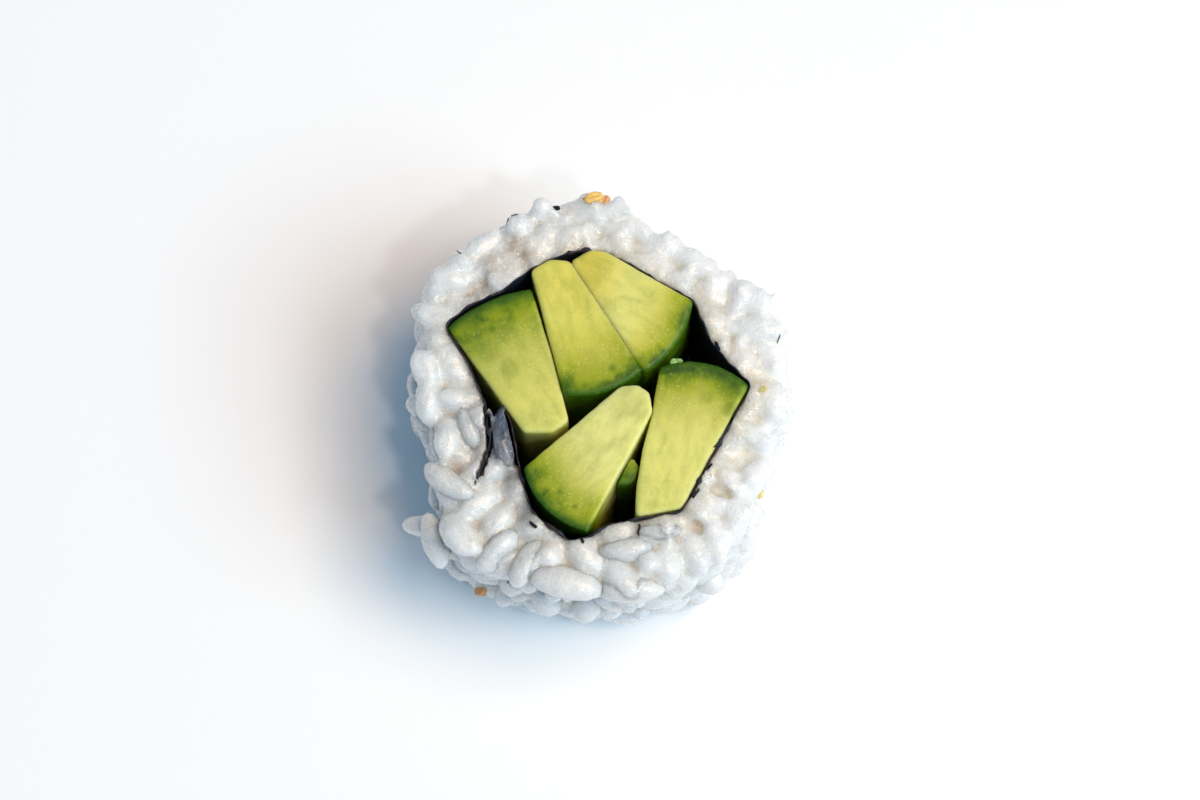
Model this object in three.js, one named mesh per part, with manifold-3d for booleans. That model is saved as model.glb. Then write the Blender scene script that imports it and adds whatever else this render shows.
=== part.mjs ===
// One piece of an inside-out cucumber roll, standing on a cut end: sushi rice outside, a sheet of nori inside it,
// and six cucumber batons side by side in the nori. Millimetres, +Z up along the roll's axis, +Y to the back,
// with the origin in the middle of the footprint.
import * as THREE from "three";
import { mergeVertices } from "three/addons/utils/BufferGeometryUtils.js";
import Module from "manifold-3d";

// Driving dimensions.
const HEIGHT = 24; // length that the knife cut from the roll
const NORI_THICKNESS = 0.3; // soaked sheet
const CLEARANCE = 0.15; // between the rice or a baton and the nori
const NORI_FOLD_RADIUS = 0.6; // bend of the sheet round a corner of the filling
const KNIFE_EDGE_RADIUS = 0.35; // worn corner of a cut baton
const LUMP = { length: 7.4, width: 4.6, height: 0.9 }; // clump of two or three cooked grains that stands out of the rice
const SIDE_LUMPS = 150;
const TOP_LUMPS = 64;

// Radius of the rice, at every 15 degrees anticlockwise from +X.
const RIM_RADII = [
  22.7, 23.4, 23.4, 22.5, 21.5, 24.0, 25.3, 25.8, 25.2, 26.2, 25.0, 23.2,
  22.4, 20.8, 22.8, 25.4, 24.6, 23.5, 23.6, 24.3, 24.8, 24.6, 22.2, 21.9,
];
// How far the side stands out from the rim, at equal steps from the foot to the top.
const SIDE_BULGE = [-1.0, -0.3, 0, 0.2, 0.2, 0.1, -0.2];
const SIDE_ROWS = 15;
const RIM_FACETS = 112;
// Rows over the top face and under the foot, as shares of the rim's radius.
const TOP_ROWS = [0.95, 0.9, 0.84, 0.78, 0.72, 0.66, 0.6, 0];
const FOOT_ROWS = [0, 0.7];

// The nori's middle line, clockwise from the end under the rice, round the filling, to the end that is folded in
// over a tongue of rice.
const NORI_PATH = [
  [-14.4, -10.0],
  [-12.9, -5.6],
  [-13.6, -0.6],
  [-15.8, 4.7],
  [-18.5, 8.6],
  [-16.3, 10.8],
  [-10.8, 13.7],
  [-8.3, 15.8],
  [-5.9, 17.1],
  [-1.2, 18.3],
  [0.9, 18.0],
  [11.2, 11.9],
  [13.1, 6.9],
  [17.9, 1.4],
  [9.7, -13.8],
  [4.2, -14.8],
  [0.8, -15.5],
  [-1.4, -17.0],
  [-3.5, -17.4],
  [-7.8, -14.2],
  [-9.4, -9.2],
  [-10.0, -5.6],
  [-11.0, -1.9],
  [-11.8, -1.3],
  [-12.3, -2.2],
];
const MOUTH_AT = 2; // point of the path that faces the folded end across the seam

// Each baton's cut outline, anticlockwise. The first side is the cucumber's skin, which bulges by `skin`.
const BATONS = {
  cucumber_left: {
    corners: [[-8.3, 13.2], [-18.0, 8.5], [-8.9, -4.2], [-5.6, -4.2], [-3.8, -2.9], [-6.0, 5.8]],
    skin: 0.9,
    top: 23.7,
  },
  cucumber_back_left: {
    corners: [[-4.1, 0.4], [4.8, 3.3], [-3.7, 16.5], [-5.9, 16.7], [-8.0, 15.4]],
    skin: 1.1,
    top: 24.0,
  },
  cucumber_back_right: {
    corners: [[5.3, 3.1], [10.8, 11.6], [0.8, 17.6], [-1.1, 17.9], [-3.3, 16.6]],
    skin: 1.1,
    top: 24.1,
  },
  cucumber_right: {
    corners: [[17.4, 1.3], [7.2, 3.5], [6.4, -1.6], [5.2, -6.4], [4.4, -11.0], [4.3, -14.4], [9.5, -13.4]],
    skin: 1.6,
    top: 23.9,
  },
  cucumber_front: {
    corners: [[-8.8, -8.9], [-1.5, -16.3], [6.1, -1.9], [5.7, 0.3], [4.3, 1.2], [2.5, 1.0]],
    skin: 1.5,
    top: 24.4,
  },
  cucumber_sliver: {
    corners: [[2.1, -10.5], [4.1, -9.8], [4.5, -8.4], [3.8, -7.3]],
    skin: 0.3,
    top: 22.9,
  },
};
const SKIN_FACETS = 10; // chords along a baton's skin
const CORNER_FACETS = 2; // chords round a baton's cut corner
const FOLD_FACETS = 4; // chords round a bend of the nori

const wasm = await Module();
wasm.setup();

/** A closed geometry as a solid that can be cut. */
function solidOf(geometry) {
  const bare = geometry.index ? geometry.toNonIndexed() : geometry.clone();
  bare.deleteAttribute("normal");
  bare.deleteAttribute("uv");
  const merged = mergeVertices(bare, 1e-3);
  const triangles = [];
  for (let i = 0; i < merged.index.count; i += 3) {
    const [a, b, c] = merged.index.array.subarray(i, i + 3);
    if (a !== b && b !== c && a !== c) triangles.push(a, b, c);
  }
  return new wasm.Manifold(
    new wasm.Mesh({
      numProp: 3,
      vertProperties: merged.attributes.position.array,
      triVerts: new Uint32Array(triangles),
    }),
  );
}

/** The largest body of a solid, without the slivers that a cut round a tight bend leaves. */
function largestBody(solid) {
  return solid.decompose().reduce((largest, body) => (body.volume() > largest.volume() ? body : largest));
}

/** A solid back as a geometry. */
function geometryOf(solid) {
  const { vertProperties, triVerts } = solid.getMesh();
  const geometry = new THREE.BufferGeometry();
  geometry.setAttribute("position", new THREE.BufferAttribute(vertProperties, 3));
  geometry.setIndex(new THREE.BufferAttribute(triVerts, 1));
  geometry.computeVertexNormals();
  return geometry;
}

/** The points as vectors, with each corner between two sides rounded to about the radius. */
function rounded(points, radius, facets, closed) {
  const corners = points.map(([x, y]) => new THREE.Vector2(x, y));
  const count = corners.length;
  return corners.flatMap((corner, i) => {
    if (!closed && (i === 0 || i === count - 1)) return [corner];
    const before = corners[(i + count - 1) % count].clone().sub(corner);
    const after = corners[(i + 1) % count].clone().sub(corner);
    const reach = Math.min(radius, before.length() * 0.45, after.length() * 0.45);
    const bend = new THREE.QuadraticBezierCurve(
      corner.clone().addScaledVector(before.normalize(), reach),
      corner,
      corner.clone().addScaledVector(after.normalize(), reach),
    );
    return bend.getPoints(facets);
  });
}

/** Points of the arc from one corner to another that bulges to the right of the way by the sagitta. */
function skinArc(from, to, sagitta) {
  const chord = to.clone().sub(from);
  const out = new THREE.Vector2(chord.y, -chord.x).normalize();
  const radius = (chord.lengthSq() / 4 + sagitta ** 2) / (2 * sagitta);
  const half = Math.asin(chord.length() / 2 / radius);
  const centre = from.clone().add(to).multiplyScalar(0.5).addScaledVector(out, sagitta - radius);
  const first = from.clone().sub(centre);
  return Array.from({ length: SKIN_FACETS + 1 }, (_, i) =>
    first.clone().rotateAround(new THREE.Vector2(), (2 * half * i) / SKIN_FACETS).add(centre),
  );
}

/** A flat outline drawn up to a height. */
function prism(outline, height, foot = 0) {
  const geometry = new THREE.ExtrudeGeometry(new THREE.Shape(outline), {
    depth: height,
    bevelEnabled: false,
  });
  return geometry.translate(0, 0, foot);
}

/** A baton of cucumber, whose first side is its skin. */
function batonGeometry({ corners, skin, top }) {
  const [from, to] = corners.map(([x, y]) => new THREE.Vector2(x, y));
  const flesh = rounded(corners, KNIFE_EDGE_RADIUS, CORNER_FACETS, true);
  const perCorner = CORNER_FACETS + 1;
  return prism([...skinArc(from, to, skin), ...flesh.slice(2 * perCorner)], top);
}

/** The outline of a strip that runs along a line, with the given width. */
function stripOutline(line, width) {
  const sides = line.map((point, i) => {
    const before = line[Math.max(i - 1, 0)];
    const after = line[Math.min(i + 1, line.length - 1)];
    const along = after.clone().sub(before).normalize();
    return new THREE.Vector2(-along.y, along.x).multiplyScalar(width / 2);
  });
  const left = line.map((point, i) => point.clone().add(sides[i]));
  const right = line.map((point, i) => point.clone().sub(sides[i]));
  return [...left, ...right.reverse()];
}

/** The line with both its ends drawn out by a length. */
function lengthened(line, length) {
  const drawn = line.map((point) => point.clone());
  const ends = [[0, 1], [line.length - 1, line.length - 2]];
  for (const [end, next] of ends) {
    const out = line[end].clone().sub(line[next]).normalize();
    drawn[end].addScaledVector(out, length);
  }
  return drawn;
}

/** Radius of the rice's rim towards a bearing, in radians. */
function rimRadius(bearing) {
  const turns = bearing / (2 * Math.PI);
  const at = (turns - Math.floor(turns)) * RIM_RADII.length;
  const i = Math.floor(at) % RIM_RADII.length;
  const next = RIM_RADII[(i + 1) % RIM_RADII.length];
  return THREE.MathUtils.lerp(RIM_RADII[i], next, THREE.MathUtils.smoothstep(at - Math.floor(at), 0, 1));
}

/** How far the side stands out at a height. */
function sideBulge(z) {
  const at = THREE.MathUtils.clamp(z / HEIGHT, 0, 1) * (SIDE_BULGE.length - 1);
  const i = Math.min(Math.floor(at), SIDE_BULGE.length - 2);
  return THREE.MathUtils.lerp(SIDE_BULGE[i], SIDE_BULGE[i + 1], at - i);
}

/** Lumps spread evenly over the rice's side and top, each with its middle and the way it points. */
function lumpsOnTheRice() {
  const golden = Math.PI * (3 - Math.sqrt(5));
  const sides = Array.from({ length: SIDE_LUMPS }, (_, i) => {
    const bearing = i * golden;
    const lean = i * golden * 1.7;
    const z = ((i + 0.5) / SIDE_LUMPS) * HEIGHT;
    const radius = rimRadius(bearing) + sideBulge(z) - LUMP.height;
    const round = new THREE.Vector3(-Math.sin(bearing), Math.cos(bearing), 0);
    return {
      middle: new THREE.Vector3(radius * Math.cos(bearing), radius * Math.sin(bearing), z),
      way: round.multiplyScalar(Math.cos(lean)).setZ(Math.sin(lean)),
    };
  });
  const tops = Array.from({ length: TOP_LUMPS }, (_, i) => {
    const bearing = i * golden;
    const way = i * golden * 2.3;
    const share = 0.45 + (0.5 * (i + 0.5)) / TOP_LUMPS;
    const radius = rimRadius(bearing) * Math.sqrt(share);
    return {
      middle: new THREE.Vector3(radius * Math.cos(bearing), radius * Math.sin(bearing), HEIGHT - LUMP.height),
      way: new THREE.Vector3(Math.cos(way), Math.sin(way), 0),
    };
  });
  return [...sides, ...tops];
}

/** How far the highest lump raises a point of the surface under the lumps. */
function relief(point, lumps) {
  const offset = new THREE.Vector3();
  return lumps.reduce((highest, { middle, way }) => {
    offset.subVectors(point, middle);
    const along = offset.dot(way);
    const acrossSquared = offset.lengthSq() - along ** 2;
    const left = 1 - (along / (LUMP.length / 2)) ** 2 - acrossSquared / (LUMP.width / 2) ** 2;
    return Math.max(highest, LUMP.height * left);
  }, 0);
}

/** The rice before the filling is cut from it: a drum with an uneven rim, its side and top lumpy. */
function riceDrum() {
  const rowHeight = HEIGHT / SIDE_ROWS;
  const profile = [
    ...FOOT_ROWS.map((share) => new THREE.Vector2(share, 0)),
    ...Array.from({ length: SIDE_ROWS + 1 }, (_, i) => new THREE.Vector2(1, i * rowHeight)),
    ...TOP_ROWS.map((share) => new THREE.Vector2(share, HEIGHT)),
  ];
  const drum = new THREE.LatheGeometry(profile, RIM_FACETS).rotateX(Math.PI / 2);
  const lumps = lumpsOnTheRice();
  const position = drum.attributes.position;
  const point = new THREE.Vector3();
  for (let i = 0; i < position.count; i++) {
    point.fromBufferAttribute(position, i);
    const share = Math.hypot(point.x, point.y);
    const bearing = Math.atan2(point.y, point.x);
    const z = point.z;
    const onFoot = z < 1e-3;
    const onSide = share > 0.99;
    const onTop = z > HEIGHT - 1e-3;
    const bulge = onSide ? sideBulge(z) - LUMP.height : 0;
    const base = share * rimRadius(bearing) + bulge;
    const floorless = onTop ? z - LUMP.height : z;
    point.set(base * Math.cos(bearing), base * Math.sin(bearing), floorless);
    const raised = onFoot ? 0 : relief(point, lumps);
    const radius = onSide ? base + raised : base;
    const height = onTop ? floorless + raised : z;
    position.setXYZ(i, radius * Math.cos(bearing), radius * Math.sin(bearing), height);
  }
  return drum;
}

/** The rice, with the room for the nori and for all that the nori holds cut out of it. */
function riceGeometry(noriLine) {
  const over = 1;
  const fullHeight = HEIGHT + 2 * over;
  const mouth = noriLine.findIndex(({ x, y }) => {
    const [mouthX, mouthY] = NORI_PATH[MOUTH_AT];
    return Math.hypot(x - mouthX, y - mouthY) < NORI_FOLD_RADIUS;
  });
  const hollow = solidOf(prism(noriLine.slice(mouth), fullHeight, -over));
  const slit = stripOutline(lengthened(noriLine, CLEARANCE), NORI_THICKNESS + 2 * CLEARANCE);
  const cut = solidOf(riceDrum())
    .subtract(hollow)
    .subtract(solidOf(prism(slit, fullHeight, -over)));
  return geometryOf(largestBody(cut));
}

/** A finish for one kind of food. */
function finish(colour, roughness) {
  return new THREE.MeshStandardMaterial({ color: colour, roughness, metalness: 0 });
}

/** A named piece of the roll. */
function piece(name, geometry, material) {
  const mesh = new THREE.Mesh(geometry, material);
  mesh.name = name;
  return mesh;
}

const riceFinish = finish(0xe9e7e0, 0.45);
const noriFinish = finish(0x11150f, 0.6);
const cucumberFinish = finish(0xb4c257, 0.35);

const noriLine = rounded(NORI_PATH, NORI_FOLD_RADIUS, FOLD_FACETS, false);
const noriOutline = stripOutline(noriLine, NORI_THICKNESS);

const roll = new THREE.Group();
roll.name = "cucumber_roll";
roll.add(piece("rice", riceGeometry(noriLine), riceFinish));
roll.add(piece("nori", prism(noriOutline, HEIGHT), noriFinish));
for (const [name, baton] of Object.entries(BATONS)) {
  roll.add(piece(name, batonGeometry(baton), cucumberFinish));
}

// The footprint's middle becomes the origin.
const footprint = new THREE.Box3().setFromObject(roll).getCenter(new THREE.Vector3());
roll.position.set(-footprint.x, -footprint.y, 0);

export default roll;
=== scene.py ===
"""Looks of one piece of an inside-out cucumber roll, round its CAD frame: rice, nori and cucumber batons."""

from __future__ import annotations

import logging
import math
from dataclasses import dataclass, field
from enum import Enum
from typing import Sequence

import bmesh
import bpy
import numpy as np
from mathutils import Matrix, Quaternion, Vector, noise
from mathutils.bvhtree import BVHTree
from mathutils.kdtree import KDTree

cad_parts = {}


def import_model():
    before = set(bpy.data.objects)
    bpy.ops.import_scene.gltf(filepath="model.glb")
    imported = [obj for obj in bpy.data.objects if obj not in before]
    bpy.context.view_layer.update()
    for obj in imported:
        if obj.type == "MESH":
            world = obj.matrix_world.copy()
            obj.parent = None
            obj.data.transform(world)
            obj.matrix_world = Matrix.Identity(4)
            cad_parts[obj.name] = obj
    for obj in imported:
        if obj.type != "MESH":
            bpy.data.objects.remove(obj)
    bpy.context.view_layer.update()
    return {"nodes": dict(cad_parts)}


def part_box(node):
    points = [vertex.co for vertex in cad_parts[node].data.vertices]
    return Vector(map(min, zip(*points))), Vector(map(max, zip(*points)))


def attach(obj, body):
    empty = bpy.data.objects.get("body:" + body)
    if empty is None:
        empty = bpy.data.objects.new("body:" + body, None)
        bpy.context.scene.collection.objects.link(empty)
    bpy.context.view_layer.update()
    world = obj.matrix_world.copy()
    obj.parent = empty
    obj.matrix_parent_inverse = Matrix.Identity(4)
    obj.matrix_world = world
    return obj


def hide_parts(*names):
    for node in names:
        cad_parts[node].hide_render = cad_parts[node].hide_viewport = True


MM = 0.001
log = logging.getLogger("cucumber_roll")

Colour = tuple[float, float, float, float]
Place = tuple[float, float, float]


def srgb(red: int, green: int, blue: int) -> Colour:
    """A linear colour from 8-bit display values.

    Args:
        red, green, blue: display values from 0 to 255.

    Returns:
        The colour with full alpha, in linear light.
    """
    shares = (value / 255 for value in (red, green, blue))
    linear = [s / 12.92 if s <= 0.04045 else ((s + 0.055) / 1.055) ** 2.4 for s in shares]
    return (linear[0], linear[1], linear[2], 1.0)


# --------------------------------------------------------------------------------------------------
# Mesh tools
# --------------------------------------------------------------------------------------------------


def points_of(mesh: bpy.types.Mesh) -> np.ndarray:
    """The mesh's vertices as an array of n rows of x, y and z."""
    points = np.empty(len(mesh.vertices) * 3)
    mesh.vertices.foreach_get("co", points)
    return points.reshape(-1, 3)


def normals_of(mesh: bpy.types.Mesh) -> np.ndarray:
    """The mesh's vertex normals as an array of n rows."""
    normals = np.empty(len(mesh.vertices) * 3)
    mesh.vertices.foreach_get("normal", normals)
    return normals.reshape(-1, 3)


def move_points(mesh: bpy.types.Mesh, points: np.ndarray) -> None:
    """Puts the mesh's vertices at the given rows."""
    mesh.vertices.foreach_set("co", np.ascontiguousarray(points, dtype=np.float32).ravel())
    mesh.update()


def paint(mesh: bpy.types.Mesh, name: str, values: np.ndarray) -> None:
    """Stores a number, or a row of three, for each vertex as a named attribute.

    Args:
        mesh: the mesh to mark.
        name: the attribute's name.
        values: one value or row for each vertex.
    """
    kind, key = ("FLOAT", "value") if values.ndim == 1 else ("FLOAT_VECTOR", "vector")
    attribute = mesh.attributes.get(name) or mesh.attributes.new(name, kind, "POINT")
    attribute.data.foreach_set(key, np.ascontiguousarray(values, dtype=np.float32).ravel())


def new_object(name: str, mesh: bpy.types.Mesh) -> bpy.types.Object:
    """A new object of the mesh, linked to the scene and smooth shaded."""
    mesh.polygons.foreach_set("use_smooth", np.ones(len(mesh.polygons), bool))
    piece = bpy.data.objects.new(name, mesh)
    bpy.context.scene.collection.objects.link(piece)
    return piece


def mesh_of(shape: bmesh.types.BMesh, name: str) -> bpy.types.Mesh:
    """Takes an edited shape as a new mesh, and frees it.

    Args:
        shape: the shape, which can't be used afterwards.
        name: the mesh's name.

    Returns:
        The new mesh.
    """
    mesh = bpy.data.meshes.new(name)
    shape.to_mesh(mesh)
    shape.free()
    return mesh


def evaluated_mesh(piece: bpy.types.Object) -> bpy.types.Mesh:
    """Takes an object's mesh with its modifiers applied, and removes the object.

    Args:
        piece: a working object with live modifiers.

    Returns:
        The plain mesh.
    """
    graph = bpy.context.evaluated_depsgraph_get()
    mesh = bpy.data.meshes.new_from_object(piece.evaluated_get(graph), depsgraph=graph)
    bpy.data.objects.remove(piece)
    return mesh


def voxel_remeshed(mesh: bpy.types.Mesh, voxel: float, smoothing: int) -> bpy.types.Mesh:
    """One even skin round all that the mesh holds.

    Args:
        mesh: closed pieces, which may overlap.
        voxel: the cell size, in metres.
        smoothing: rounds of smoothing, which fill creases and round edges.

    Returns:
        The new mesh.
    """
    piece = new_object("remesh", mesh)
    remesh = piece.modifiers.new("even", "REMESH")
    remesh.mode = "VOXEL"
    remesh.voxel_size = voxel
    if smoothing:
        smooth = piece.modifiers.new("soften", "SMOOTH")
        smooth.factor = 0.5
        smooth.iterations = smoothing
    return evaluated_mesh(piece)


def softened(mesh: bpy.types.Mesh, weights: np.ndarray, rounds: int) -> bpy.types.Mesh:
    """The mesh smoothed by a share that differs from place to place.

    Args:
        mesh: the mesh to smooth.
        weights: for each vertex, how much it is smoothed, from 0 to 1.
        rounds: rounds of smoothing.

    Returns:
        The new mesh.
    """
    piece = new_object("softening", mesh)
    group = piece.vertex_groups.new(name="soft")
    levels = np.round(weights * 10).astype(int)
    for level in range(1, 11):
        group.add(np.nonzero(levels == level)[0].tolist(), level / 10, "REPLACE")
    smooth = piece.modifiers.new("soften", "SMOOTH")
    smooth.factor = 0.5
    smooth.iterations = rounds
    smooth.vertex_group = group.name
    return evaluated_mesh(piece)


def merged_copy(node: bpy.types.Object) -> bpy.types.Mesh:
    """A copy of a CAD node's mesh with its loose triangles joined."""
    mesh = node.data.copy()
    mesh.materials.clear()
    shape = bmesh.new()
    shape.from_mesh(mesh)
    bmesh.ops.remove_doubles(shape, verts=shape.verts, dist=1e-3 * MM)
    shape.to_mesh(mesh)
    shape.free()
    return mesh


def joined(meshes: Sequence[bpy.types.Mesh]) -> bpy.types.Mesh:
    """One mesh of all the given ones."""
    shape = bmesh.new()
    for mesh in meshes:
        shape.from_mesh(mesh)
    return mesh_of(shape, "joined")


def search_tree(mesh: bpy.types.Mesh, faces: list[list[int]]) -> BVHTree:
    """Some of a mesh's faces, ready to be searched.

    Args:
        mesh: the mesh.
        faces: the numbers of each face's vertices.

    Returns:
        The search tree.
    """
    return BVHTree.FromPolygons([Vector(p) for p in points_of(mesh)], faces)


def is_upright(face: bpy.types.MeshPolygon) -> bool:
    """Whether a face stands upright."""
    return abs(face.normal.z) < 1e-3


def surface(mesh: bpy.types.Mesh, upright: bool = False) -> BVHTree:
    """A mesh's faces, ready to be searched.

    Args:
        mesh: the mesh.
        upright: takes only its upright faces.

    Returns:
        The search tree.
    """
    faces = [list(f.vertices) for f in mesh.polygons if not upright or is_upright(f)]
    return search_tree(mesh, faces)


def reach_across(points: np.ndarray, x: float, y: float) -> np.ndarray:
    """How far each point is, seen from above, from the place x, y, which is given in millimetres."""
    return np.linalg.norm(points[:, :2] - np.array((x, y)) * MM, axis=1)


def reach_to(tree: BVHTree, points: np.ndarray) -> np.ndarray:
    """How far each point is from the faces of a search tree."""
    return np.array([tree.find_nearest(Vector(point))[3] for point in points])


def ripple(point: Sequence[float], size: float, offset: float = 0.0) -> float:
    """Smooth noise from about -1 to 1 at a point, with bumps of about the given size in metres."""
    return noise.noise(Vector(point) / size + Vector((offset, offset * 0.7, -offset)))


def granules(point: Sequence[float], size: float) -> float:
    """Rounded lumps with creases between them, from about -0.5 to 0.5, of about the given size in metres."""
    return 0.5 - noise.voronoi(Vector(point) / size)[0][0]


def smoothstep(low: float, high: float, value: np.ndarray | float) -> np.ndarray | float:
    """0 below low, 1 above high, with a smooth rise between them."""
    share = np.clip((value - low) / (high - low), 0.0, 1.0)
    return share * share * (3 - 2 * share)


# --------------------------------------------------------------------------------------------------
# Node tools
# --------------------------------------------------------------------------------------------------


class NodeTree:
    """A short hand for adding and wiring nodes in one tree."""

    def __init__(self, tree: bpy.types.NodeTree) -> None:
        """Keeps the tree that the nodes go into."""
        self.tree = tree

    def add(self, kind: str, settings: dict | None = None, **inputs: object) -> bpy.types.Node:
        """Adds a node.

        Args:
            kind: the node's type name.
            settings: properties to set on the node, before its inputs.
            inputs: socket names, with underscores for spaces, each with a value or a socket to link.

        Returns:
            The node.
        """
        node = self.tree.nodes.new(kind)
        for name, value in (settings or {}).items():
            setattr(node, name, value)
        for name, value in inputs.items():
            self.feed(node, name.replace("_", " "), value)
        return node

    def feed(self, node: bpy.types.Node, name: str | int, value: object) -> None:
        """Links a socket to an input, or sets the input's value.

        Args:
            node: the node that takes the value.
            name: the input's name or number.
            value: an output socket or a plain value.
        """
        sockets = [s for s in node.inputs if s.name == name and s.enabled] if isinstance(name, str) else []
        socket = sockets[0] if sockets else node.inputs[name]
        if isinstance(value, bpy.types.NodeSocket):
            self.tree.links.new(value, socket)
        else:
            socket.default_value = value

    def maths(self, operation: str, *values: object) -> bpy.types.NodeSocket:
        """The result of one sum on numbers or sockets."""
        node = self.add("ShaderNodeMath", {"operation": operation})
        for i, value in enumerate(values):
            self.feed(node, i, value)
        return node.outputs[0]

    def mix(self, share: object, first: object, second: object) -> bpy.types.NodeSocket:
        """Two colours mixed by a share.

        Args:
            share: how much of the second colour, from 0 to 1.
            first, second: colours or sockets.

        Returns:
            The mixed colour's socket.
        """
        node = self.tree.nodes.new("ShaderNodeMix")
        node.data_type = "RGBA"
        colours = [s for s in node.inputs if s.type == "RGBA"]
        for socket, value in zip((node.inputs[0], *colours), (share, first, second)):
            if isinstance(value, bpy.types.NodeSocket):
                self.tree.links.new(value, socket)
            else:
                socket.default_value = value
        return next(s for s in node.outputs if s.type == "RGBA")

    def ramp(self, share: object, stops: Sequence[tuple[float, Colour]]) -> bpy.types.NodeSocket:
        """A colour picked from a row of stops.

        Args:
            share: a number or socket from 0 to 1.
            stops: the places and colours, in order.

        Returns:
            The colour's socket.
        """
        node = self.add("ShaderNodeValToRGB", Fac=share)
        elements = node.color_ramp.elements
        for element, (place, colour) in zip(elements, (stops[0], stops[-1])):
            element.position = place
            element.color = colour
        for place, colour in stops[1:-1]:
            elements.new(place).color = colour
        return node.outputs["Color"]

    def stretched(
        self, value: object, low: float, high: float, to: tuple[float, float] = (0.0, 1.0)
    ) -> bpy.types.NodeSocket:
        """A value moved smoothly from one range to another, and kept inside it."""
        node = self.add("ShaderNodeMapRange", {"interpolation_type": "SMOOTHSTEP"}, Value=value)
        for name, number in zip(("From Min", "From Max", "To Min", "To Max"), (low, high, *to)):
            self.feed(node, name, number)
        return node.outputs["Result"]

    def attribute(self, name: str) -> bpy.types.NodeSocket:
        """A number that is stored on the mesh."""
        return self.add("ShaderNodeAttribute", {"attribute_name": name}).outputs["Fac"]


class Mottling:
    """The shader group of uneven food: soft cloudy patches, specks and a wet, finely bumpy surface."""

    NAME = "mottled flesh"
    INPUTS = {"Vector": "NodeSocketVector", "Patch Scale": "NodeSocketFloat", "Fine Scale": "NodeSocketFloat"}
    OUTPUTS = ("Patches", "Specks", "Height")

    @classmethod
    def group(cls) -> bpy.types.NodeTree:
        """The shader group, built on its first use.

        Returns:
            The group, with inputs for the sizes and outputs Patches, Specks and Height.
        """
        found = bpy.data.node_groups.get(cls.NAME)
        if found:
            return found
        group = bpy.data.node_groups.new(cls.NAME, "ShaderNodeTree")
        for name, kind in cls.INPUTS.items():
            group.interface.new_socket(name, in_out="INPUT", socket_type=kind)
        for name in cls.OUTPUTS:
            group.interface.new_socket(name, in_out="OUTPUT", socket_type="NodeSocketFloat")
        build = NodeTree(group)
        given = build.add("NodeGroupInput").outputs
        where = given["Vector"]
        broad, narrow = given["Patch Scale"], given["Fine Scale"]
        patches = build.add("ShaderNodeTexNoise", Vector=where, Scale=broad, Detail=4.0, Roughness=0.6)
        fine = build.add("ShaderNodeTexNoise", Vector=where, Scale=narrow, Detail=3.0, Roughness=0.65)
        cells = build.add("ShaderNodeTexVoronoi", Vector=where, Scale=narrow)
        larger = build.maths("MULTIPLY", narrow, 0.45)
        lumps = build.add("ShaderNodeTexVoronoi", Vector=where, Scale=larger)
        relief = build.maths("MULTIPLY_ADD", cells.outputs["Distance"], -0.35, fine.outputs["Fac"])
        relief = build.maths("MULTIPLY_ADD", lumps.outputs["Distance"], -0.6, relief)
        height = build.maths("MULTIPLY_ADD", patches.outputs["Fac"], 2.0, relief)
        result = build.add("NodeGroupOutput")
        build.feed(result, "Patches", build.stretched(patches.outputs["Fac"], 0.3, 0.7))
        build.feed(result, "Specks", build.stretched(fine.outputs["Fac"], 0.55, 0.72))
        build.feed(result, "Height", height)
        return group

    @classmethod
    def place(cls, build: NodeTree, patch: float, fine: float) -> bpy.types.NodeOutputs:
        """Adds the group to a material.

        Args:
            build: the material's tree.
            patch: size of the patches, in metres.
            fine: size of the fine bumps, in metres.

        Returns:
            The group's outputs.
        """
        where = build.add("ShaderNodeTexCoord").outputs["Object"]
        node = build.add("ShaderNodeGroup", {"node_tree": cls.group()})
        build.feed(node, "Vector", where)
        build.feed(node, "Patch Scale", 1 / patch)
        build.feed(node, "Fine Scale", 1 / fine)
        return node.outputs


# --------------------------------------------------------------------------------------------------
# Finishes
# --------------------------------------------------------------------------------------------------


@dataclass(frozen=True)
class Wetness:
    """The gloss of a moist surface."""

    roughness: float
    ior: float = 1.36
    coat: float = 0.0
    coat_roughness: float = 0.12
    bump: float = 0.3
    bump_depth: float = 0.05 * MM


@dataclass(frozen=True)
class Depth:
    """How far light spreads under a surface."""

    weight: float
    radius: tuple[float, float, float]
    scale: float


def principled(build: NodeTree, wetness: Wetness, depth: Depth | None, height: object) -> bpy.types.Node:
    """Adds the material's own shader and output.

    Args:
        build: the material's tree.
        wetness: the gloss.
        depth: the light's spread under the surface, or None for an opaque thing.
        height: a socket with the surface's fine relief.

    Returns:
        The shader, whose colour is still to be fed.
    """
    shader = build.add("ShaderNodeBsdfPrincipled", Roughness=wetness.roughness, IOR=wetness.ior)
    build.feed(shader, "Coat Weight", wetness.coat)
    build.feed(shader, "Coat Roughness", wetness.coat_roughness)
    if depth:
        build.feed(shader, "Subsurface Weight", depth.weight)
        build.feed(shader, "Subsurface Radius", depth.radius)
        build.feed(shader, "Subsurface Scale", depth.scale)
    bump = build.add("ShaderNodeBump", Strength=wetness.bump, Distance=wetness.bump_depth, Height=height)
    build.feed(shader, "Normal", bump.outputs["Normal"])
    build.add("ShaderNodeOutputMaterial", Surface=shader.outputs["BSDF"])
    return shader


def blank_material(name: str) -> tuple[bpy.types.Material, NodeTree]:
    """A new material with an empty tree.

    Args:
        name: the material's name.

    Returns:
        The material and its tree.
    """
    material = bpy.data.materials.new(name)
    material.use_nodes = True
    material.node_tree.nodes.clear()
    return material, NodeTree(material.node_tree)


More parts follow.
